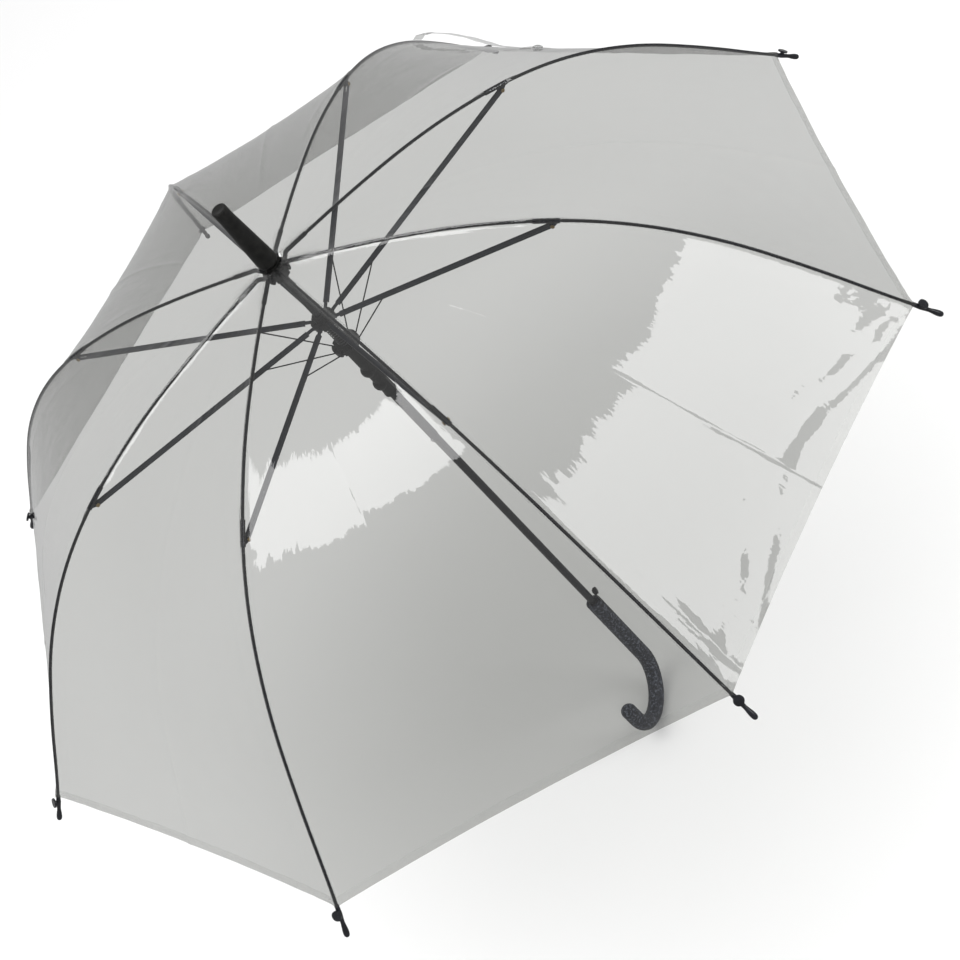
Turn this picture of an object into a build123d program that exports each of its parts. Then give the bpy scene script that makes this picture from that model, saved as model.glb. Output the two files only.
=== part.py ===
from build123d import *
import os
from math import atan2, cos, degrees, hypot, radians, sin, tan

# A clear dome umbrella, open, standing on its own axis.
# +Z runs up the shaft to the ferrule. The origin is on the shaft's axis at the
# middle of the straight grip, and the crook opens towards +X. Rib 1 lies over +X
# and the ribs are numbered anticlockwise seen from above. Millimetres throughout.

# ---------------------------------------------------------------- driving sizes
N_RIBS = 8
PITCH = 360 / N_RIBS             # angle from rib to rib
HUB_Z = 685.0                    # height of the rib rods where they leave the notch

RIB_R = 1.5                      # steel rib rod
RIB_START = 11.0                 # radius where the rib curve begins
RIB_TILT = 3.2                   # fall of the rib at its start, degrees
# (length, turn in degrees) of the tangent arcs that the open rib follows
UPPER_BENDS = [(60, 0.9), (75, 3.6), (127, 12.5)]
LOWER_BENDS = [(101, 16.6), (87, 11.7), (90, 3.9), (62, -2.0)]
RIB_LENGTH = 600.0               # rib rod, notch to tip disc

PIN_RING = 10.0                  # radius of both tie-wire rings, notch and runner
NOTCH_DROP = 8.0                 # rib pivot below the rod at the notch
CLIP_DROP = 4.8                  # rib-to-stretcher pin below the rod
CLIP_AT = 262.0                  # distance of that pin along the rib
CLIP_BACK, CLIP_FRONT = 17.0, 7.0 # plastic clip sleeve, each way from that pin
CLIP_R = 2.3

SHAFT_R, SHAFT_WALL = 4.2, 0.7
TUBE_R, TUBE_BORE = 4.9, 4.28    # steel tube that slides on the shaft
SLIDE_BORE = 4.27                # bore of the plastic parts that slide on the shaft
TUBE_END = -284.0                # lower end of that tube, below the hub
SLEEVE_TOP, SLEEVE_END = -121.0, -204.5
SLEEVE_R = 6.9
GRIP_BUMPS = (-166, -188)        # finger bumps on the sleeve, below the hub
HUB_R = 7.4                      # solid core inside the slotted crowns
CROWN_R = 12.6
SLOT = 3.0                       # width of the slots in the crowns
KEYWAY_W, KEYWAY_R = 1.8, 6.4    # groove that passes over the open catch
KEYWAY_AZ = 315.0

WIRE_R = 0.65                    # assist wires and tie wires
WIRE_PIVOT = 64.0                # distance of a wire's pivot along the stretcher
WIRE_RING = 12.8                 # radius of the wires' lower ends
WIRE_RING_Z = -124.0

CHANNEL_W, CHANNEL_H, CHANNEL_T = 4.6, 3.2, 0.6

FERRULE_TOP, FERRULE_END = 82.5, 4.0
FERRULE_R_TOP, FERRULE_R_END = 7.6, 10.4
FERRULE_PARALLEL = 14.0          # straight length at the top of the ferrule

HANDLE_TOP = -625.0
HANDLE_R = 9.0
GRIP_LENGTH = 122.0              # straight part of the handle
CROOK_R = 42.0                   # bend of the crook, on its centre line
CROOK_END = 18.0                 # straight end of the crook
HANDLE_BORE, HANDLE_BORE_DEPTH = 5.3, 102.0

BUTTON_AZ, BUTTON_Z = 112.5, -611.0
BUTTON_R = 4.3

FILM = 0.3                       # thickness of the film panels
FILM_GAP = 2.9                   # underside of the film above the rod's axis
FILM_END = 593.5                 # film hem, along the rib
HALF_GORE = radians(PITCH / 2)
SEAM_GAP = 0.3                   # clearance between neighbouring panels

STRAP_AT = 435.0                 # closure strap's place along the ribs
STRAP_W = 20.0
# (place across the panel, from its middle at 0 to rib 5 at 1; lift over the film)
STRAP_ARCH = [(0.985, 0.0), (0.95, 7.5), (0.86, 10.6), (0.70, 11.4), (0.53, 9.2),
              (0.38, 4.4), (0.26, 0.8), (0.08, 0.2), (-0.15, 0.1)]
SNAP_AT = -0.08


# ------------------------------------------------------------------ rib geometry
def rib_at(s):
    """Radius, height and downward slope (radians) of the open rib's axis at s."""
    r, z, slope = RIB_START, HUB_Z, radians(RIB_TILT)
    for length, turn in UPPER_BENDS + LOWER_BENDS:
        run = min(s, length)
        bend = radians(turn) * run / length
        chord = run * sin(bend / 2) / (bend / 2) if bend else run
        r += chord * cos(slope + bend / 2)
        z -= chord * sin(slope + bend / 2)
        slope += bend
        s -= run
        if s <= 0:
            break
    return r, z, slope


def beside_rib(s, offset):
    """Point in the rib's plane, offset outwards (up) from the rod's axis."""
    r, z, slope = rib_at(s)
    return r + offset * sin(slope), z + offset * cos(slope)


NOTCH_PIN = (PIN_RING, HUB_Z - NOTCH_DROP)
CLIP_PIN = beside_rib(CLIP_AT, -CLIP_DROP)
# The runner's pins mirror the notch's about the clip pins' level, so that rib and
# stretcher stay an isosceles pair and the runner slides truly along the shaft.
RUNNER_PIN = (PIN_RING, 2 * CLIP_PIN[1] - NOTCH_PIN[1])
ARM = hypot(CLIP_PIN[0] - PIN_RING, NOTCH_PIN[1] - CLIP_PIN[1])
ARM_RISE = atan2(CLIP_PIN[1] - RUNNER_PIN[1], CLIP_PIN[0] - PIN_RING)
FLEX_AT = CLIP_AT + CLIP_FRONT + RIB_R     # where the rib flexes on closing


def xz(point, y=0.0):
    return Vector(point[0], y, point[1])


def rod(start, end, radius=RIB_R):
    """A round rod along the open rib from s=start to s=end."""
    stops, total = [start], 0.0
    for length, _ in UPPER_BENDS + LOWER_BENDS:
        total += length
        if start < total < end:
            stops.append(total)
    stops.append(end)
    arcs = [
        ThreePointArc(*(xz(beside_rib(s, 0)) for s in (a, (a + b) / 2, b)))
        for a, b in zip(stops, stops[1:])
    ]
    path = Wire(arcs)
    section = Plane(origin=path @ 0, z_dir=path % 0) * Circle(radius)
    return sweep(section, path=path)


def slab(outline, width, y=0.0):
    """A flat plate in the rib's plane from a closed outline."""
    face = make_face(Polyline(*[xz(p, y) for p in outline], close=True))
    return extrude(face, width / 2, dir=(0, 1, 0), both=True)


def cross_pin(point, radius, width):
    """A round bar across the rib's plane."""
    return Location(xz(point), (90, 0, 0)) * Cylinder(radius, width)


def bar(a, b, height, width):
    """A straight flat bar between two points of the rib's plane, round at its ends."""
    length, angle = hypot(b[0] - a[0], b[1] - a[1]), atan2(b[1] - a[1], b[0] - a[0])
    middle = ((a[0] + b[0]) / 2, (a[1] + b[1]) / 2)
    body = Location(xz(middle), (0, -degrees(angle), 0)) * Box(length, width, height)
    return body + cross_pin(a, height / 2, width) + cross_pin(b, height / 2, width)


def along(a, b, u, n=0.0):
    """Point u along and n above the line from a to b."""
    length = hypot(b[0] - a[0], b[1] - a[1])
    ux, uz = (b[0] - a[0]) / length, (b[1] - a[1]) / length
    return a[0] + u * ux - n * uz, a[1] + u * uz + n * ux


def ring(radius, z, wire_r):
    return Location((0, 0, z)) * Torus(radius, wire_r)


def spin(shape, degrees_):
    return shape.rotate(Axis.Z, degrees_)


def column(radius, low, high):
    """A cylinder on the shaft's axis between two heights measured from the hub."""
    return Location((0, 0, HUB_Z + (low + high) / 2)) * Cylinder(radius, high - low)


# -------------------------------------------------------------- moving frame
def rib_upper():
    """Root fitting, rod, stretcher clip and its rivet."""
    root = bar(NOTCH_PIN, beside_rib(7, -0.3), 3.6, 2.4)
    root += bar(beside_rib(7, -0.3), beside_rib(12, 0), 3.4, 2.4)
    root += rod(9, 32, 2.1)
    root -= cross_pin(NOTCH_PIN, WIRE_R + 0.25, 6)
    root -= rod(8.9, 33, RIB_R)
    shank = rod(9, FLEX_AT - 1.9)
    clip = rod(CLIP_AT - CLIP_BACK, CLIP_AT + CLIP_FRONT, CLIP_R)
    foot = [beside_rib(CLIP_AT + d, h) for d, h in ((-6, -1), (6, -1))]
    foot += [beside_rib(CLIP_AT + d, -CLIP_DROP - h) for d, h in ((2.0, 1.2), (-2.0, 1.2))]
    clip += slab(foot, 1.8)
    clip -= rod(CLIP_AT - CLIP_BACK - 3, FLEX_AT, RIB_R)
    clip -= cross_pin(CLIP_PIN, 1.1, 6)
    rivet = cross_pin(CLIP_PIN, 1.1, 5.6)
    for side in (-1, 1):
        head = Cylinder(1.9, 0.7)
        rivet += Location(xz(CLIP_PIN, side * 2.75), (90, 0, 0)) * head
    return [root, shank, clip, rivet]


def rib_lower():
    """Rod from the flexing point to the tip, and the tip cap."""
    tip_r, tip_z, slope = rib_at(RIB_LENGTH)
    shank = rod(FLEX_AT, RIB_LENGTH + 2)
    shank += Location(xz(beside_rib(FLEX_AT, 0))) * Sphere(RIB_R)
    half = make_face(
        Polyline((-8, 0), (-8, 2.0), (0, 2.4), (6, 2.0))
        + Spline((6, 2.0), (12, 2.3), (18, 2.8), (21.5, 2.0), (22.6, 0))
        + Line((22.6, 0), (-8, 0))
    )
    cap = revolve(half, Axis.X)
    cap += Location((0, 0, 3.2)) * Cylinder(2.0, 3.0)
    cap += Location((0, 0, 4.6)) * Cylinder(4.8, 1.6)
    cap = Location(xz((tip_r, tip_z)), (0, degrees(slope), 0)) * cap
    cap -= rod(RIB_LENGTH - 12, RIB_LENGTH + 1.99, RIB_R)
    return [shank, cap]


def stretcher():
    """Folded channel, open below, with an eye at the runner and ears at the clip."""
    a, b = RUNNER_PIN, CLIP_PIN
    middle = along(a, b, ARM / 2)
    tilt = -degrees(ARM_RISE)
    body = Box(ARM - 20, CHANNEL_W, CHANNEL_H)
    body -= Location((0, 0, -CHANNEL_T)) * Box(ARM, CHANNEL_W - 2 * CHANNEL_T, CHANNEL_H)
    body = Location(xz(middle), (0, tilt, 0)) * body
    ear = bar(along(a, b, ARM - 12), b, CHANNEL_H, CHANNEL_W)
    ear -= bar(along(a, b, ARM - 14), along(a, b, ARM + 6), 9, CHANNEL_W - 2 * CHANNEL_T)
    ear -= cross_pin(b, 1.18, 8)
    eye = bar(a, along(a, b, 14), CHANNEL_H, 2.4)
    eye -= bar(along(a, b, 4, -1.9), along(a, b, 16, -1.9), 2.4, 6)
    eye -= cross_pin(a, WIRE_R + 0.25, 6)
    body += ear + eye
    pivot = along(a, b, WIRE_PIVOT, -0.6)
    return [body + cross_pin(pivot, 0.55, CHANNEL_W + 0.9)]


def assist_wire():
    """Thin wire from an eye in the stretcher to a hook on the lower sleeve."""
    top = along(RUNNER_PIN, CLIP_PIN, WIRE_PIVOT, -0.6)
    foot = (WIRE_RING, HUB_Z + WIRE_RING_Z)
    eye = cross_pin(top, 1.3, 1.4) + cross_pin(foot, 1.5, 1.4)
    length = hypot(top[0] - foot[0], top[1] - foot[1])
    angle = atan2(foot[1] - top[1], foot[0] - top[0])
    middle = ((top[0] + foot[0]) / 2, (top[1] + foot[1]) / 2)
    wire = Location(xz(middle), (0, 90 - degrees(angle), 0)) * Cylinder(WIRE_R, length)
    wire = eye + wire - cross_pin(top, 0.63, 4) - cross_pin(foot, 0.9, 4)
    return [wire]


def crown(low, high, core, bore, pin_ring, pin_z):
    """Slotted plastic crown that holds eight eyes on a tie wire."""
    body = column(CROWN_R, low, high)
    slots = Box(CROWN_R, SLOT, 60)
    for k in range(N_RIBS):
        body -= spin(Location((core + CROWN_R / 2, 0, HUB_Z + low)) * slots, k * PITCH)
    body -= ring(pin_ring, HUB_Z + pin_z, WIRE_R + 0.06)
    return body - column(bore, low - 60, high + 60)


def keyway(shape):
    """Groove over the open catch, cut along everything that slides past it."""
    cutter = Location((KEYWAY_R / 2, 0, HUB_Z - 200)) * Box(KEYWAY_R, KEYWAY_W, 600)
    return shape - spin(cutter, KEYWAY_AZ)


def runner_crown():
    z = RUNNER_PIN[1] - HUB_Z
    body = crown(z - 4, z + 3, HUB_R, SLIDE_BORE, PIN_RING, z)
    body += column(HUB_R, z - 6, z + 9) - column(SLIDE_BORE, z - 7, z + 10)
    return [keyway(body), ring(PIN_RING, RUNNER_PIN[1], WIRE_R)]


def lower_sleeve():
    """Slotted flange for the wires over a finger grip."""
    z = WIRE_RING_Z
    flange = column(14.4, z - 2.4, z + 3.0)
    slots = Box(14.0, SLOT, 60)
    for k in range(N_RIBS):
        flange -= spin(Location((10.7 + 7, 0, HUB_Z + z)) * slots, k * PITCH)
    flange -= ring(WIRE_RING, HUB_Z + z, WIRE_R + 0.06)
    body = flange + column(SLEEVE_R, SLEEVE_END, z)
    body += column(SLEEVE_R + 0.5, SLEEVE_END, SLEEVE_END + 2)
    for bump_z in GRIP_BUMPS:
        bump = Location((SLEEVE_R - 5, 0, HUB_Z + bump_z)) * Sphere(8.0)
        body += spin(bump, KEYWAY_AZ - 12)
    body -= column(TUBE_R + 0.05, SLEEVE_END - 1, z - 20)
    body -= column(SLIDE_BORE, z - 30, z + 4)
    relief = Location((SLEEVE_R + 2, 0, HUB_Z + SLEEVE_END)) * Box(6.0, 11, 42)
    body -= spin(relief, BUTTON_AZ)
    return [keyway(body), ring(WIRE_RING, HUB_Z + z, WIRE_R)]


def runner_tube():
    tube = column(TUBE_R, TUBE_END, WIRE_RING_Z - 20.05)
    return [keyway(tube - column(TUBE_BORE, TUBE_END - 1, 0))]


def main_spring():
    low, high = WIRE_RING_Z + 3.6, RUNNER_PIN[1] - HUB_Z - 6.6
    pitch = (high - low) / 9
    path = Location((0, 0, HUB_Z + low)) * Helix(pitch, high - low, 5.6)
    section = Plane(origin=path @ 0, z_dir=path % 0) * Circle(0.55)
    return [sweep(section, path=path, is_frenet=True)]


# ------------------------------------------------------------------ fixed parts
def shaft():
    low, high = HANDLE_TOP - HANDLE_BORE_DEPTH - 14, FERRULE_TOP - 12
    tube = column(SHAFT_R, low, high) - column(SHAFT_R - SHAFT_WALL, low - 1, high + 1)
    window = Location((SHAFT_R, 0, HUB_Z + TUBE_END - 6)) * Box(SHAFT_R, 1.8, 13)
    return [tube - spin(window, KEYWAY_AZ)]


def top_notch():
    body = crown(-13, -4, HUB_R, SHAFT_R + 0.02, PIN_RING, -NOTCH_DROP)
    body += column(HUB_R, -13, 1.5) - column(SHAFT_R + 0.02, -14, 2)
    return [body]


def ferrule_cap():
    top, end = HUB_Z + FERRULE_TOP, HUB_Z + FERRULE_END
    r_top, r_end = FERRULE_R_TOP, FERRULE_R_END
    outline = Polyline(
        (0, end), (r_end - 1.4, end), (r_end, end + 3), (r_end, end + 7),
        (r_top, top - FERRULE_PARALLEL), (r_top, top - 0.8), (r_top - 0.8, top),
        (r_top - 1.8, top), (0, top - 1.2), close=True,
    )
    body = revolve(Plane.XZ * make_face(outline), Axis.Z)
    return [body - column(SHAFT_R + 0.02, 0, FERRULE_TOP - 12)]


def handle():
    z_bend = HUB_Z + HANDLE_TOP - GRIP_LENGTH
    grip = column(HANDLE_R, HANDLE_TOP - GRIP_LENGTH, HANDLE_TOP)
    grip = fillet(grip.edges().filter_by(GeomType.CIRCLE).sort_by(Axis.Z)[-1], 1.6)
    end_x = 2 * CROOK_R
    path = (
        ThreePointArc((0, 0, z_bend), (CROOK_R, 0, z_bend - CROOK_R), (end_x, 0, z_bend))
        + Line((end_x, 0, z_bend), (end_x, 0, z_bend + CROOK_END))
    )
    crook = sweep(Location((0, 0, z_bend)) * Circle(HANDLE_R), path=Wire(path.edges()))
    crook += Location((end_x, 0, z_bend + CROOK_END)) * Sphere(HANDLE_R)
    body = grip + crook
    body -= column(HANDLE_BORE, HANDLE_TOP - HANDLE_BORE_DEPTH, HANDLE_TOP + 1)
    body -= column(SHAFT_R + 0.02, HANDLE_TOP - HANDLE_BORE_DEPTH - 14.05, HANDLE_TOP)
    slot = Location((HANDLE_R - 1.4, 0, HUB_Z + HANDLE_TOP)) * Box(6.6, 4.6, 18)
    return [body - spin(slot, BUTTON_AZ)]


def release_button():
    """Round button on a lever that stands in a slot in the handle's top."""
    z = HUB_Z + BUTTON_Z
    lever_low = HUB_Z + HANDLE_TOP - 7
    lever = Location((7.9, 0, (z + 2 + lever_low) / 2)) * Box(1.2, 3.8, z + 2 - lever_low)
    disc = Location((10.6, 0, z), (0, 90, 0)) * Cylinder(BUTTON_R, 4.2)
    disc = fillet(disc.edges().filter_by(GeomType.CIRCLE), 1.1)
    return [spin(lever + disc, BUTTON_AZ)]


def open_catch():
    """Bent wire that stands out of the shaft's window below the open runner."""
    z = HUB_Z + TUBE_END - 1.2
    points = [(1.6, z - 8), (3.0, z - 8), (5.3, z - 2.4), (5.3, z - 0.6), (1.6, z - 0.6)]
    path = FilletPolyline(*[xz(p) for p in points], radius=0.9)
    section = Plane(origin=path @ 0, z_dir=path % 0) * Circle(0.6)
    return [spin(sweep(section, path=path), KEYWAY_AZ)]


# ---------------------------------------------------------------------- canopy
def panel(start, end):
    """One film panel over the gap from rib 1 to rib 2, seamed by two planes."""
    count = 6
    stations = [start + (end - start) * i / (count - 1) for i in range(count)]
    squeeze = cos(HALF_GORE)

    def edge_at(height):
        return [(r * squeeze, z) for r, z in (beside_rib(s, height) for s in stations)]

    under, over = edge_at(FILM_GAP), edge_at(FILM_GAP + FILM)
    outline = (
        Spline(*[xz(p) for p in under])
        + Line(xz(under[-1]), xz(over[-1]))
        + Spline(*[xz(p) for p in reversed(over)])
        + Line(xz(over[0]), xz(under[0]))
    )
    reach = over[-1][0] + 20
    sheet = extrude(make_face(outline), reach, dir=(0, 1, 0), both=True)
    side = tan(HALF_GORE)
    inset = SEAM_GAP / 2 / sin(HALF_GORE)
    wedge = make_face(
        Polyline((inset, 0), (reach, (reach - inset) * side),
                 (reach, -(reach - inset) * side), close=True)
    )
    wedge = extrude(Location((0, 0, HUB_Z - 400)) * wedge, 500)
    return spin(sheet & wedge, PITCH / 2)


def closure_strap():
    """Film strap across panel 4, from the seam at rib 5 to its snap, with slack."""
    r, z, slope = rib_at(STRAP_AT)
    half = r * sin(HALF_GORE)
    r, z = beside_rib(STRAP_AT, FILM_GAP + FILM)

    def edge_at(height):
        return [Vector(0, share * half, lift + height) for share, lift in STRAP_ARCH]

    under, over = edge_at(0.5), edge_at(1.1)
    outline = (
        Spline(*under)
        + Line(under[-1], over[-1])
        + Spline(*reversed(over))
        + Line(over[0], under[0])
    )
    strap = extrude(make_face(outline), STRAP_W / 2, dir=(1, 0, 0), both=True)
    strap += Location((0, SNAP_AT * half, 2.2)) * Cylinder(5.4, 2.4)
    strap += Location((0, SNAP_AT * half, 4.0)) * Cylinder(3.2, 1.6)
    tilt = degrees(atan2(tan(slope), cos(HALF_GORE)))
    place = Location((r * cos(HALF_GORE), 0, z), (0, tilt, 0))
    return [spin(place * strap, 3.5 * PITCH)]


# ----------------------------------------------------------------------- export
def save(node, solids, turn=0.0):
    solids = [spin(solid, turn) for solid in solids]
    flat = [piece for solid in solids for piece in solid.solids()]
    shape = flat[0] if len(flat) == 1 else Compound(children=flat)
    shape.label = node
    export_step(shape, f"parts/{node}.step")


def main():
    os.makedirs("parts", exist_ok=True)
    single = (
        shaft, ferrule_cap, top_notch, handle, release_button, open_catch,
        runner_crown, lower_sleeve, runner_tube, main_spring, closure_strap,
    )
    for build in single:
        save(build.__name__, build())
    save("rib_tie_wire", [ring(PIN_RING, NOTCH_PIN[1], WIRE_R)])
    around = {
        "rib_upper": rib_upper(),
        "rib_lower": rib_lower(),
        "stretcher": stretcher(),
        "assist_wire": assist_wire(),
        "gore_upper": [panel(2.0, CLIP_AT)],
        "gore_lower": [panel(CLIP_AT + 0.3, FILM_END)],
    }
    for name, solids in around.items():
        for k in range(N_RIBS):
            save(f"{name}_{k + 1}", solids, k * PITCH)


main()
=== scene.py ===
from math import atan2, cos, exp, hypot, pi, radians, sin

import bpy
from mathutils import Matrix, Vector


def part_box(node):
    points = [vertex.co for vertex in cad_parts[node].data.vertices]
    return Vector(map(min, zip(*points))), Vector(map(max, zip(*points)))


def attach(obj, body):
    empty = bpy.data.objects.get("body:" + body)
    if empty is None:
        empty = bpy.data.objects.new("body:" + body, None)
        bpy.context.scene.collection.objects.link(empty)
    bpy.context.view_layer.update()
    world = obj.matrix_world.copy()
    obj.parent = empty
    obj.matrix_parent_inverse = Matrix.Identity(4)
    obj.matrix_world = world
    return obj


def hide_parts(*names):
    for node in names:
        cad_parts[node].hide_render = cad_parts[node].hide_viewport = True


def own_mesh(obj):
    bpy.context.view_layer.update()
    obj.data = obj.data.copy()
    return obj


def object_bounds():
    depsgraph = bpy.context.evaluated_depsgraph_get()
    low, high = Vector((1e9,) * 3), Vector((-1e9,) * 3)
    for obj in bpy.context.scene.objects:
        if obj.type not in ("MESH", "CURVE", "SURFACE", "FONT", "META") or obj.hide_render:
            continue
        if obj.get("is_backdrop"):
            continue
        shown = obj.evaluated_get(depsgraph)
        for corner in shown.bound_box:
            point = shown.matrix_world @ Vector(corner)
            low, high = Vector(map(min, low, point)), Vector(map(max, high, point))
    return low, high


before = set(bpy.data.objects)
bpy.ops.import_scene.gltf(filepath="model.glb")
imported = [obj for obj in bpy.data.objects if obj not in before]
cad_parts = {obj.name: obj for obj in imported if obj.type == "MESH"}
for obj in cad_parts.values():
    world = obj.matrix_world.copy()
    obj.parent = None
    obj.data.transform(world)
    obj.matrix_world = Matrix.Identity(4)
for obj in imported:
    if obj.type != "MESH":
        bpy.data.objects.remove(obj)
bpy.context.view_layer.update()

MM = 0.001

# ---------------------------------------------------------------- the umbrella
# The rib curve is the CAD's: tangent arcs, each a length in mm and a turn in degrees.
N_RIBS = 8
PITCH = 2 * pi / N_RIBS
RIB_START, RIB_TILT = 11.0, 3.2
RIB_BENDS = [(60, 0.9), (75, 3.6), (127, 12.5), (101, 16.6), (87, 11.7), (90, 3.9), (62, -2.0)]
CLIP_AT = 262.0                 # clip pin, along the rib
FILM_START, FILM_END = 2.0, 593.5
NOTCH_RIM = 1.5                 # top of the notch, above the rods' axis
HUB_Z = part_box("top_notch")[1].z / MM - NOTCH_RIM


def rib_at(s):
    """Radius, height and downward slope of the rib's axis at s, in mm and radians."""
    r, z, slope = RIB_START, HUB_Z, radians(RIB_TILT)
    for length, turn in RIB_BENDS:
        run = min(s, length)
        bend = radians(turn) * run / length
        chord = run * sin(bend / 2) / (bend / 2) if bend else run
        r += chord * cos(slope + bend / 2)
        z -= chord * sin(slope + bend / 2)
        slope += bend
        s -= run
        if s <= 0:
            break
    return r, z, slope


def on_rib(k, s, lift):
    """Point over rib k at s, lift mm outside the rod's axis, in metres."""
    r, z, slope = rib_at(s)
    r, z = (r + lift * sin(slope)) * MM, (z + lift * cos(slope)) * MM
    return Vector((r * cos(PITCH * k), r * sin(PITCH * k), z))


# -------------------------------------------------------------------- materials
MOTTLE = (0.35, 0.65)            # where a mottled finish is dark and where it is light
# Where the grip is flecked, the flecks are painted glints: lighter specks that stand in for
# the sparkle of its grain.
FLECKED_WITH_GLINTS = (0.40, 0.56, 0.64)     # the same, and where it is flecked
GRAIN_DEPTH = 0.0004             # moulded grain of the solid pieces, in metres
RIPPLE_DEPTH = 0.00055           # unevenness of the film, in metres
PLEATS = (20, 11, 1)             # ripples across a gore and along it
BROAD_RIPPLES, BROAD_SHARE = 22.0, 0.6
GLOSS_HEAD_ON = 0.05             # both faces of the film, seen square on
GLOSS_GRAZING, GRAZING_POWER = 0.85, 3.0
PLASTIC_IOR = 1.5
HAZE_COLOUR = (0.60, 0.61, 0.61, 1)


def new_material(name):
    """A node material with nothing in it but its output."""
    mat = bpy.data.materials.new(name)
    mat.use_nodes = True
    tree = mat.node_tree
    tree.nodes.clear()
    out = tree.nodes.new("ShaderNodeOutputMaterial")
    return mat, tree, out


def node(tree, kind, **values):
    """A node with its sockets or settings given by name."""
    made = tree.nodes.new(kind)
    for key, value in values.items():
        socket = key.replace("_", " ")
        found = [s for s in made.inputs if s.name.lower() == socket.lower()]
        if found:
            found[0].default_value = value
        else:
            setattr(made, key, value)
    return made


def bumped(tree, height, strength, distance):
    """The normal that a height makes, as a socket."""
    bump = node(tree, "ShaderNodeBump", Strength=strength, Distance=distance)
    tree.links.new(height, bump.inputs["Height"])
    return bump.outputs["Normal"]


def coords(tree, scale=(1, 1, 1), kind="Object"):
    """The object's own coordinates or its UVs, scaled."""
    place = tree.nodes.new("ShaderNodeTexCoord")
    mapping = tree.nodes.new("ShaderNodeMapping")
    mapping.inputs["Scale"].default_value = scale
    tree.links.new(place.outputs[kind], mapping.inputs["Vector"])
    return mapping.outputs["Vector"]


def noise(tree, vector, scale, detail=3.0):
    made = node(tree, "ShaderNodeTexNoise", Scale=scale, Detail=detail, Roughness=0.5)
    tree.links.new(vector, made.inputs["Vector"])
    return made.outputs["Fac"]


def ramp(tree, value, stops):
    """A colour from a value, through (position, colour) stops."""
    made = tree.nodes.new("ShaderNodeValToRGB")
    while len(made.color_ramp.elements) < len(stops):
        made.color_ramp.elements.new(0.5)
    for element, (position, colour) in zip(made.color_ramp.elements, stops):
        element.position, element.color = position, (*colour, 1)
    tree.links.new(value, made.inputs["Fac"])
    return made.outputs["Color"]


def solid(name, dark, light, glint_fleck=None, metallic=0.0, rough=(0.3, 0.45), grain=400.0,
          bump=0.15, specular=0.5, mottle_scale=0.12):
    """A surface mottled between two colours, with grain in its roughness and bump.

    The mottle's scale is a share of the grain's, and a third, brighter colour adds flecks that
    are painted glints, the sparkle of the grain."""
    mat, tree, out = new_material(name)
    where = coords(tree)
    shader = node(tree, "ShaderNodeBsdfPrincipled", Metallic=metallic)
    shader.inputs["Specular IOR Level"].default_value = specular
    stops = list(zip(FLECKED_WITH_GLINTS, (dark, light, glint_fleck)) if glint_fleck else zip(MOTTLE, (dark, light)))
    mottle = noise(tree, where, grain * mottle_scale)
    tree.links.new(ramp(tree, mottle, stops), shader.inputs["Base Color"])
    fine = noise(tree, where, grain, 2.0)
    spread = node(tree, "ShaderNodeMapRange")
    spread.inputs["To Min"].default_value, spread.inputs["To Max"].default_value = rough
    tree.links.new(fine, spread.inputs["Value"])
    tree.links.new(spread.outputs["Result"], shader.inputs["Roughness"])
    tree.links.new(bumped(tree, fine, bump, GRAIN_DEPTH), shader.inputs["Normal"])
    tree.links.new(shader.outputs["BSDF"], out.inputs["Surface"])
    return mat


def film(name, tint, haze, rough=0.02, ripple=1.0, gloss_head_on=GLOSS_HEAD_ON):
    """Clear plastic film: see-through, with a little haze and glossy where it mirrors."""
    mat, tree, out = new_material(name)
    clear = node(tree, "ShaderNodeBsdfTransparent", Color=(*tint, 1))
    gloss = node(tree, "ShaderNodeBsdfPrincipled", Roughness=0.3, IOR=PLASTIC_IOR)
    gloss.inputs["Base Color"].default_value = HAZE_COLOUR
    mirror = node(tree, "ShaderNodeBsdfGlossy", Roughness=rough)
    mirror.inputs["Color"].default_value = (1, 1, 1, 1)
    pleats = noise(tree, coords(tree, PLEATS, "UV"), 1.0)
    broad = noise(tree, coords(tree), BROAD_RIPPLES, 2.0)
    both = node(tree, "ShaderNodeMath", operation="MULTIPLY_ADD")
    tree.links.new(broad, both.inputs[0])
    both.inputs[1].default_value = BROAD_SHARE
    tree.links.new(pleats, both.inputs[2])
    normal = bumped(tree, both.outputs["Value"], ripple, RIPPLE_DEPTH)
    facing = tree.nodes.new("ShaderNodeLayerWeight")
    facing.inputs["Blend"].default_value = 0.5
    for shader in (gloss, mirror, facing):
        tree.links.new(normal, shader.inputs["Normal"])
    body = node(tree, "ShaderNodeMixShader", Fac=haze)
    tree.links.new(clear.outputs["BSDF"], body.inputs[1])
    tree.links.new(gloss.outputs["BSDF"], body.inputs[2])
    grazing = node(tree, "ShaderNodeMath", operation="POWER")
    tree.links.new(facing.outputs["Facing"], grazing.inputs[0])
    grazing.inputs[1].default_value = GRAZING_POWER
    share = node(tree, "ShaderNodeMath", operation="MULTIPLY_ADD")
    share.use_clamp = True
    tree.links.new(grazing.outputs["Value"], share.inputs[0])
    share.inputs[1].default_value = GLOSS_GRAZING
    share.inputs[2].default_value = gloss_head_on
    skin = tree.nodes.new("ShaderNodeMixShader")
    tree.links.new(share.outputs["Value"], skin.inputs["Fac"])
    tree.links.new(body.outputs["Shader"], skin.inputs[1])
    tree.links.new(mirror.outputs["BSDF"], skin.inputs[2])
    tree.links.new(skin.outputs["Shader"], out.inputs["Surface"])
    return mat


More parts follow.
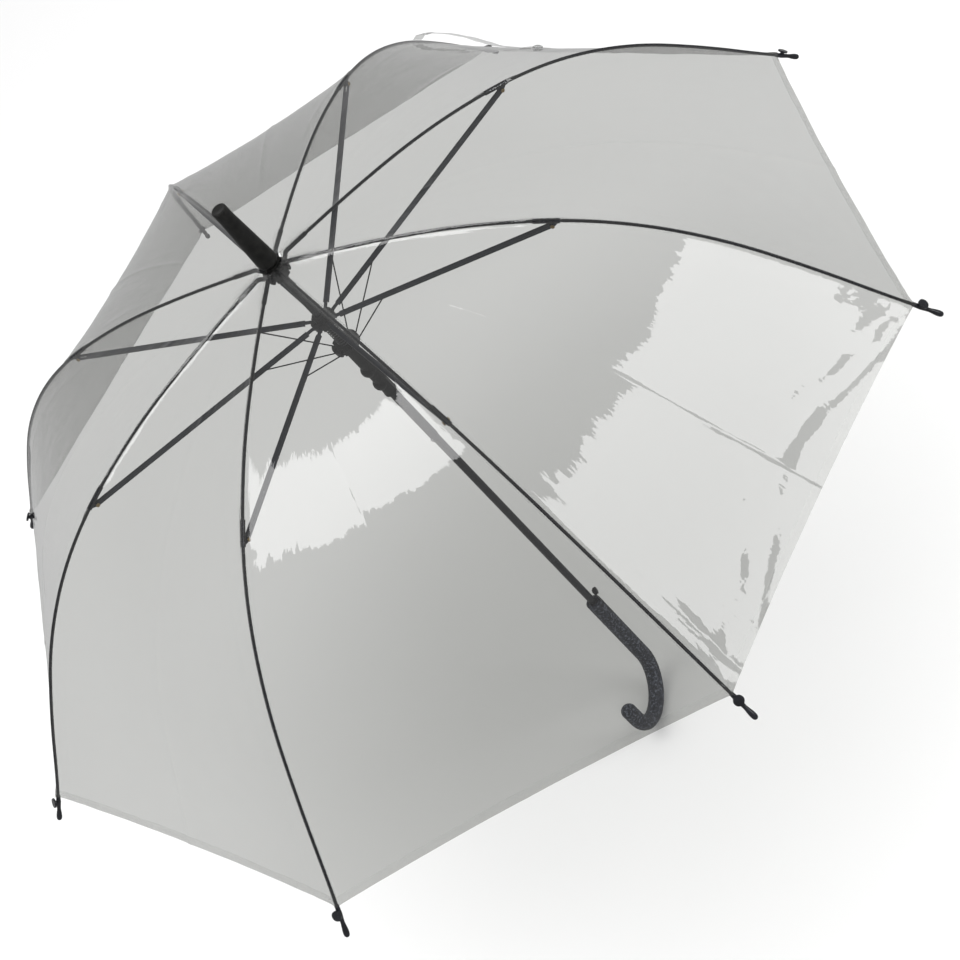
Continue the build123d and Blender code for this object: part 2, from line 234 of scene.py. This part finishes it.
FILM_MAT = film("clear_film", (0.525, 0.528, 0.516), 0.008)
HEM_MAT = film("clear_film_welded", (0.985, 0.986, 0.984), 0.01,
               rough=0.06, ripple=0.0, gloss_head_on=0.015)
STRAP_MAT = film("clear_strap", (0.66, 0.663, 0.658), 0.05, rough=0.06, ripple=0.0)
BRIGHT_PLASTIC = film("clear_plastic", (0.55, 0.553, 0.548), 0.25, rough=0.08, ripple=0.0)
ENAMEL = solid("black_enamel", (0.004, 0.004, 0.006), (0.010, 0.011, 0.015),
               rough=(0.20, 0.32), grain=900, bump=0.06, specular=0.35)
CHANNEL = solid("black_channel", (0.006, 0.008, 0.013), (0.015, 0.019, 0.030),
                rough=(0.32, 0.48), grain=900, bump=0.08, specular=0.3)
PLASTIC = solid("black_plastic", (0.004, 0.004, 0.004), (0.010, 0.010, 0.009),
                rough=(0.30, 0.46), grain=1400, bump=0.12, specular=0.25)
# Grip: a random dark mottle of its own colour, with lighter flecks painted in as glints, the
# sparkle of its grain.
GRIP = solid("grip_plastic", (0.006, 0.007, 0.013), (0.026, 0.031, 0.048),
             glint_fleck=(0.120, 0.132, 0.165), rough=(0.40, 0.60), grain=1100, bump=0.35,
             specular=0.3, mottle_scale=0.36)
SPRING = solid("spring_wire", (0.10, 0.10, 0.11), (0.22, 0.22, 0.23), metallic=1.0,
               rough=(0.25, 0.4), grain=1500, bump=0.05)
BRASS = solid("brass_rivet", (0.32, 0.22, 0.09), (0.50, 0.36, 0.16), metallic=1.0,
              rough=(0.25, 0.4), grain=1500, bump=0.05)


ENAMELLED = ("rib_upper", "rib_lower", "assist", "shaft", "rib_tie", "runner_tube")


def finish_of(name):
    """Material of a CAD piece that stays visible, or none for one that is replaced."""
    if name.startswith(ENAMELLED):
        return ENAMEL
    if name.startswith("stretcher"):
        return CHANNEL
    if name == "open_catch":
        return SPRING
    if name == "handle":
        return GRIP
    if name.startswith(("gore", "closure", "main_spring")):
        return None
    return PLASTIC


for name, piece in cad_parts.items():
    if finish_of(name):
        piece.data.materials.clear()
        piece.data.materials.append(finish_of(name))


# ------------------------------------------------------------------ mesh helpers
def mesh_piece(name, points, faces, mat, body, uvs=None):
    """A smooth mesh that rides on a body, with one UV for each point."""
    data = bpy.data.meshes.new(name)
    data.from_pydata([tuple(p) for p in points], [], faces)
    data.validate()
    for face in data.polygons:
        face.use_smooth = True
    if uvs:
        layer = data.uv_layers.new(name="gore")
        for loop in data.loops:
            layer.data[loop.index].uv = uvs[loop.vertex_index]
    data.materials.append(mat)
    piece = bpy.data.objects.new(name, data)
    bpy.context.collection.objects.link(piece)
    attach(piece, body)
    return piece


def grid(place, us, vs):
    """Points and faces of a sheet over every u and v."""
    points = [place(u, v) for v in vs for u in us]
    n = len(us)
    faces = [
        (j * n + i, j * n + i + 1, (j + 1) * n + i + 1, (j + 1) * n + i)
        for j in range(len(vs) - 1) for i in range(n - 1)
    ]
    return points, faces


def steps(low, high, count):
    """Evenly spaced values from low to high, both among them."""
    return [low + (high - low) * i / (count - 1) for i in range(count)]


def disc(centre, normal, profile, count=28):
    """A turned piece on centre: (radius, height) pairs in mm along its profile."""
    side = normal.orthogonal().normalized()
    other = normal.cross(side)
    points = [
        centre + (side * cos(a) + other * sin(a)) * (r * MM) + normal * (h * MM)
        for r, h in profile for a in (2 * pi * i / count for i in range(count))
    ]
    faces = [
        (j * count + i, j * count + (i + 1) % count,
         (j + 1) * count + (i + 1) % count, (j + 1) * count + i)
        for j in range(len(profile) - 1) for i in range(count)
    ]
    return points, faces


# ----------------------------------------------------------------------- rivets
CLIP_DROP = 4.8        # clip pin below the rod's axis
CLIP_SIDE = 3.1        # side of the clip, from its middle plane
RIVET = [(1.98, -0.5), (2.0, 0.05), (1.7, 0.35), (1.0, 0.5), (0.01, 0.5)]

for k in range(N_RIBS):
    tangent = Vector((-sin(PITCH * k), cos(PITCH * k), 0))
    for side in (-1, 1):
        head = on_rib(k, CLIP_AT, -CLIP_DROP) + tangent * (side * CLIP_SIDE * MM)
        points, faces = disc(head, tangent * side, RIVET, 20)
        mesh_piece(f"rivet_{k + 1}_{'ab'[side > 0]}", points, faces, BRASS,
                   f"rib_upper_{k + 1}")


# ----------------------------------------------------------------------- spring
SPRING_TURNS, SPRING_R, SPRING_WIRE = 9, 5.6, 0.55
ROUND_WIRE, ALONG_TURN = 11, 32  # points of its mesh
spring_low, spring_high = (corner.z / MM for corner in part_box("main_spring"))
spring_low, spring_high = spring_low + SPRING_WIRE, spring_high - SPRING_WIRE


def on_coil(u, v):
    """Point on the spring's wire: u round the wire, v along the coil from 0 to 1."""
    angle = 2 * pi * SPRING_TURNS * v
    reach = SPRING_R + SPRING_WIRE * cos(2 * pi * u)
    height = spring_low + (spring_high - spring_low) * v + SPRING_WIRE * sin(2 * pi * u)
    return Vector((reach * cos(angle), reach * sin(angle), height)) * MM


points, faces = grid(on_coil, steps(0, 1, ROUND_WIRE), steps(0, 1, SPRING_TURNS * ALONG_TURN))
coil = mesh_piece("spring_coil", points, faces, SPRING, "runner")
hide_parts("main_spring")
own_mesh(coil)


# ----------------------------------------------------------------------- canopy
# Lengths are in mm. A station s is a distance along the ribs, and t goes from -1 at one
# rib to 1 at the next.
HEM_CURVE = 5.0                  # how far the hem's middle draws in between two tips
HEM_CURVE_FROM = 400
SAG, SAG_SHAPE = 6.0, 0.8        # how far the film's middle lies inside the ribs' chord
HEM_WIDTH, HEM_UNDER = 8.0, 0.5
SEAM_WIDTH, SEAM_UNDER = 3.6, 0.30
ROD_LIFT, CLIP_LIFT, TIP_LIFT = 1.75, 2.75, 3.0
CLIP_MIDDLE, CLIP_HALF, CLIP_RUN = CLIP_AT - 5, 26, 8
FITTING_END, TIP_CAP_AT, LIFT_RUN = 44, 578, 10
LIFT_REACH = 9                   # the lift fades away from a rod over this distance
RIDGE, RIDGE_WIDTH = 2.0, 2.9    # the film drops away on both sides of a rod
RIDGE_FROM, RIDGE_RUN = 12, 30
EDGE = (0.0, 0.8, 1.6, 2.4, 3.4, 5.0, 8.0, 14.0, 20.0, 22.0, 24.0, 30.0)
MID = (0.0, 1.2, 2.4, 4.0, 7.0)  # columns of the mesh, from the rod and the middle
PLAIN_COLUMNS = 14               # columns between those
FULL_HALF = 48                   # half a gore with less than this closes its columns up
FAN, FAN_REACH, FAN_FOLDS = 0.9, 130, 26          # folds that fan out from the tips
FAN_BACK, FAN_FADE = 14, 40      # their centre beyond the hem, and their fading in
FAN_PHASE, GORE_PHASE = 1.7, 2.39                 # set one gore's folds apart from the next
BILLOW, BILLOW_LENGTH = 0.22, 31
BILLOW_SLANT, BILLOW_ACROSS = 3.1, 2.2
# Slack waves: height, length along the rib, count across the gore, share of the phase.
WAVES = [(0.04, 12.5, -6.4, 2), (0.20, 70, 15, 1), (0.10, 45, 34, 3)]
CREASE_WIDTH = 2.5
CREASES_FROM, CREASES_RUN = 60, 120
MID_CREASE, MID_DRIFT, DRIFT_LENGTH = 0.8, 0.02, 60
SIDE_CREASE, SIDE_CREASE_AT = 0.30, 22
SIDE_CREASE_FROM, SIDE_CREASE_RUN = 150, 80
HEM_CREASE, HEM_CREASE_AT, HEM_CREASE_WIDTH = 0.30, 548, 9
GORE_UV_STEP = 1.3               # sets the ripples of one gore apart from the next
PANELS = (("upper", FILM_START, CLIP_AT, 52), ("lower", CLIP_AT, FILM_END, 84))


def swell(x):
    """Smooth step from 0 to 1."""
    x = max(0.0, min(1.0, x))
    return x * x * (3 - 2 * x)


def gore_width(s):
    """Straight distance between two neighbouring ribs."""
    return 2 * rib_at(s)[0] * sin(PITCH / 2)


def columns(s):
    """Stations across a gore at s: close together beside the rods and at the crease."""
    half = gore_width(s) / 2
    fit = min(1.0, half / FULL_HALF)
    edge = [1 - d * fit / half for d in EDGE]
    middle = [d * fit / half for d in MID]
    plain = steps(middle[-1], edge[-1], PLAIN_COLUMNS)[1:-1]
    right = middle + plain + edge[::-1]
    return [-t for t in reversed(right[1:])] + right


def film_lift(s, beside):
    """Height of the film over the rod's axis: it rides up over fitting, clip and cap."""
    clip = swell((CLIP_HALF - abs(s - CLIP_MIDDLE)) / CLIP_RUN)
    root = swell((FITTING_END - s) / LIFT_RUN)
    tip = swell((s - TIP_CAP_AT) / LIFT_RUN)
    over = (CLIP_LIFT - ROD_LIFT) * max(clip, root) + (TIP_LIFT - ROD_LIFT) * tip
    return ROD_LIFT + over * exp(-((beside / LIFT_REACH) ** 2))


def wrinkle(k, s, t):
    """Small folds of gore k, in mm: fans from both tips and slack waves between."""
    share = s / FILM_END
    phase = k * GORE_PHASE
    total = 0.0
    for side in (-1, 1):
        across = (1 - side * t) / 2 * gore_width(s) + 1
        back = FILM_END - s + FAN_BACK
        angle, reach = atan2(across, back), hypot(across, back)
        total += (FAN * exp(-reach / FAN_REACH) * sin(angle * FAN_FOLDS + k * FAN_PHASE + side)
                  * swell(across / FAN_FADE))
    total += (BILLOW * share * sin(s / BILLOW_LENGTH + BILLOW_SLANT * t + phase)
              * sin(BILLOW_ACROSS * t + phase))
    for height, length, count, turn in WAVES:
        total += height * share * sin(s / length + count * t + turn * phase)
    return total * (1 - t * t)


def creases(k, s, t):
    """The folds that storage pressed into gore k: mid-gore, beside the ribs, at the hem."""
    width = gore_width(s)
    middle = abs(t + MID_DRIFT * sin(s / DRIFT_LENGTH + k)) * width / 2
    beside = (1 - abs(t)) * width / 2
    total = MID_CREASE * exp(-middle / CREASE_WIDTH)
    total += (SIDE_CREASE * exp(-abs(beside - SIDE_CREASE_AT) / CREASE_WIDTH)
              * swell((s - SIDE_CREASE_FROM) / SIDE_CREASE_RUN))
    total += HEM_CREASE * exp(-((s - HEM_CREASE_AT) / HEM_CREASE_WIDTH) ** 2) * (1 - t * t)
    return total * swell((s - CREASES_FROM) / CREASES_RUN)


def gore_normal(k, s):
    """Outward direction at the middle of gore k."""
    slope, middle = rib_at(s)[2], PITCH * (k + 0.5)
    return Vector((sin(slope) * cos(middle), sin(slope) * sin(middle), cos(slope)))


def on_film(k, s, t, under=0.0):
    """Point on gore k: s along the ribs, t from -1 at rib k to 1 at the next rib."""
    beside = (1 - abs(t)) * gore_width(s) / 2
    s -= HEM_CURVE * (1 - t * t) * swell((s - HEM_CURVE_FROM) / (FILM_END - HEM_CURVE_FROM))
    lift = film_lift(s, beside)
    share = (t + 1) / 2
    point = on_rib(k, s, lift) * (1 - share) + on_rib(k + 1, s, lift) * share
    hollow = SAG * (1 - t * t) * sin(pi * min(1.0, s / FILM_END)) ** SAG_SHAPE
    ridge = RIDGE * (1 - exp(-((beside / RIDGE_WIDTH) ** 2)))
    ridge *= swell((s - RIDGE_FROM) / RIDGE_RUN)
    loose = wrinkle(k, s, t) + creases(k, s, t)
    return point + gore_normal(k, s) * (loose - hollow - ridge - under) * MM


def gore_area(low, high, count=40):
    """Flat area of a gore between two stations, in square metres."""
    stations = steps(low, high, count)
    strips = [(b - a) * gore_width((a + b) / 2) for a, b in zip(stations, stations[1:])]
    return sum(strips) * MM * MM


def panel(k, low, high, rows):
    """The film of gore k between two stations, with a UV that tells the gores apart."""
    stations = steps(low, high, rows)
    across = [columns(s) for s in stations]
    points, faces = grid(lambda u, v: on_film(k, stations[v], across[v][u]),
                         range(len(across[0])), range(rows))
    uvs = [
        (t / 2 + 0.5 + GORE_UV_STEP * k, s / FILM_END)
        for s, ts in zip(stations, across) for t in ts
    ]
    return points, faces, uvs


for k in range(N_RIBS):
    middle = PITCH * (k + 0.5)
    tangent = (-sin(middle), cos(middle), 0)
    for part, low, high, rows in PANELS:
        body = f"gore_{part}_{k + 1}"
        points, faces, uvs = panel(k, low, high, rows)
        sheet = mesh_piece(f"film_{part}_{k + 1}", points, faces, FILM_MAT, body,
                           uvs)
        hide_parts(body)
        trims = []
        for side in (-1, 1):
            points, faces = grid(
                lambda u, v: on_film(k, v, side * (1 - 2 * u / gore_width(v)), SEAM_UNDER),
                steps(0.0, SEAM_WIDTH, 6), steps(low, high, rows))
            if side > 0:
                faces = [tuple(reversed(f)) for f in faces]
            trims.append(mesh_piece(f"seam_{part}_{k + 1}_{'ab'[side > 0]}", points, faces,
                                    HEM_MAT, body))
        if part == "lower":
            edge = steps(FILM_END - HEM_WIDTH, FILM_END, 5)
            across = columns(FILM_END)
            points, faces = grid(lambda u, v: on_film(k, v, across[u], HEM_UNDER),
                                 range(len(across)), edge)
            trims.append(mesh_piece(f"hem_{k + 1}", points, faces, HEM_MAT, body))
        for piece in (sheet, *trims):
            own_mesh(piece)
        wide = gore_width(high) * MM
        gore_area(low, high)


# ---------------------------------------------------------------- closure strap
STRAP_W = 20.0
STRAP_AT = 435.0                 # its place along the ribs
STRAP_GORE = 3
# (place across the gore, lift over the film in mm)
STRAP_ARCH = [(-0.15, 0.7), (0.08, 0.9), (0.26, 2.0), (0.38, 5.4), (0.53, 9.8),
              (0.70, 11.8), (0.86, 11.0), (0.95, 8.0), (0.985, 1.6)]
STRAP_FROM, STRAP_TO = STRAP_ARCH[0][0], STRAP_ARCH[-1][0]
STRAP_COLUMNS, STRAP_ROWS = 9, 90
STRAP_CURL, CURL_LIFT = 0.5, 8   # it curls across where it stands this far off the film
SNAP_AT = -0.08
SNAP = [(0.01, -0.2), (5.2, -0.2), (5.4, 0.4), (5.2, 1.5), (4.6, 2.0), (3.4, 2.1),
        (3.1, 2.6), (2.4, 2.9), (1.2, 2.7), (0.01, 2.6)]


def arch(t):
    """Lift of the strap over the film at t, through STRAP_ARCH without corners."""
    for (a, low), (b, high) in zip(STRAP_ARCH, STRAP_ARCH[1:]):
        if t <= b:
            part = (t - a) / (b - a)
            return low + (high - low) * (swell(part) + part) / 2
    return STRAP_ARCH[-1][1]


def on_strap(u, t, over=0.0):
    """Point on the strap, u mm along the ribs from its middle line."""
    normal = gore_normal(STRAP_GORE, STRAP_AT)
    curl = STRAP_CURL * cos(u / STRAP_W * pi) * swell(arch(t) / CURL_LIFT)
    return on_film(STRAP_GORE, STRAP_AT + u, t) + normal * (arch(t) + curl + over) * MM


stations = steps(STRAP_FROM, STRAP_TO, STRAP_ROWS)
points, faces = grid(on_strap, steps(-STRAP_W / 2, STRAP_W / 2, STRAP_COLUMNS), stations)
strap = mesh_piece("strap", points, faces, STRAP_MAT, "gore_lower_4")
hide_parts("closure_strap")

centre = on_strap(0, SNAP_AT)
outward = (on_strap(0, SNAP_AT, 1.0) - centre).normalized()
points, faces = disc(centre, outward, SNAP)
snap = mesh_piece("strap_snap", points, faces, BRIGHT_PLASTIC, "gore_lower_4")
middle = PITCH * (STRAP_GORE + 0.5)
for piece in (strap, snap):
    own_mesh(piece)
strap_line = [on_strap(0, t) for t in stations]


# ----------------------------------------------------------------------- studio
FLOOR_GAP = 0.001                # the handle hangs this far above the floor
FLOOR_SIZE = 60
FLOOR_GREY = (0.90, 0.90, 0.90, 1)
SKY_STRENGTH = 0.52
OVERHEAD_ENERGY, OVERHEAD_ANGLE = 1.3, radians(60)
LENS, SENSOR = 79.72, 36.0
# The camera's place is measured from the axis, at the height of the rods' roots.
CAMERA_AT = (1.1857, 1.0562, 1.1230)
FORWARD = Vector((-0.5443, -0.4834, -0.6856)).normalized()
RIGHTWARD = Vector((-0.1263, 0.8552, -0.5027))

bpy.ops.mesh.primitive_plane_add(
    size=FLOOR_SIZE, location=(0, 0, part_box("handle")[0].z - FLOOR_GAP))
floor = bpy.context.object
floor.name = "floor"
mat, tree, out = new_material("floor")
shader = node(tree, "ShaderNodeBsdfPrincipled", Roughness=0.9)
shader.inputs["Base Color"].default_value = FLOOR_GREY
tree.links.new(shader.outputs["BSDF"], out.inputs["Surface"])
floor.data.materials.append(mat)
floor.visible_glossy = False
floor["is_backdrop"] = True

world = bpy.data.worlds.new("studio")
bpy.context.scene.world = world
world.use_nodes = True
background = world.node_tree.nodes["Background"]
background.inputs["Color"].default_value = (1, 1, 1, 1)
background.inputs["Strength"].default_value = SKY_STRENGTH

sun_data = bpy.data.lights.new("overhead", "SUN")
sun_data.energy, sun_data.angle = OVERHEAD_ENERGY, OVERHEAD_ANGLE
sun = bpy.data.objects.new("overhead", sun_data)
bpy.context.collection.objects.link(sun)
sun.visible_glossy = False


def softbox(name, target, direction, distance, size, glow):
    """An area light seen from target along direction, with the brightness of its face."""
    data = bpy.data.lights.new(name, "AREA")
    data.shape = "RECTANGLE"
    data.size, data.size_y = size
    data.energy = glow * pi * size[0] * size[1]
    lamp = bpy.data.objects.new(name, data)
    bpy.context.collection.objects.link(lamp)
    outward = Vector(direction).normalized()
    lamp.location = Vector(target) + outward * distance
    lamp.rotation_euler = (-outward).to_track_quat("-Z", "Y").to_euler()
    return lamp


softbox("softbox_right", (0.16, 0.39, 0.515), (-0.08, 0.86, 0.50), 2.6, (1.3, 1.4), 4.9)
softbox("softbox_top", (0.25, 0.10, 0.64), (0.105, -0.276, 0.955), 2.2, (0.95, 1.5), 4.9)
key = softbox("key", (0, 0, 0.4), -FORWARD, 5.5, (0.8, 0.8), 24)
key.visible_glossy = False

camera_data = bpy.data.cameras.new("camera")
camera_data.lens, camera_data.sensor_width = LENS, SENSOR
camera = bpy.data.objects.new("camera", camera_data)
bpy.context.collection.objects.link(camera)
right = (RIGHTWARD - FORWARD * RIGHTWARD.dot(FORWARD)).normalized()
turn = Matrix((right, right.cross(FORWARD), -FORWARD)).transposed().to_4x4()
camera.matrix_world = Matrix.Translation(Vector(CAMERA_AT) + Vector((0, 0, HUB_Z * MM))) @ turn
bpy.context.scene.camera = camera
bpy.context.scene.view_settings.view_transform = "Standard"

low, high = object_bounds()
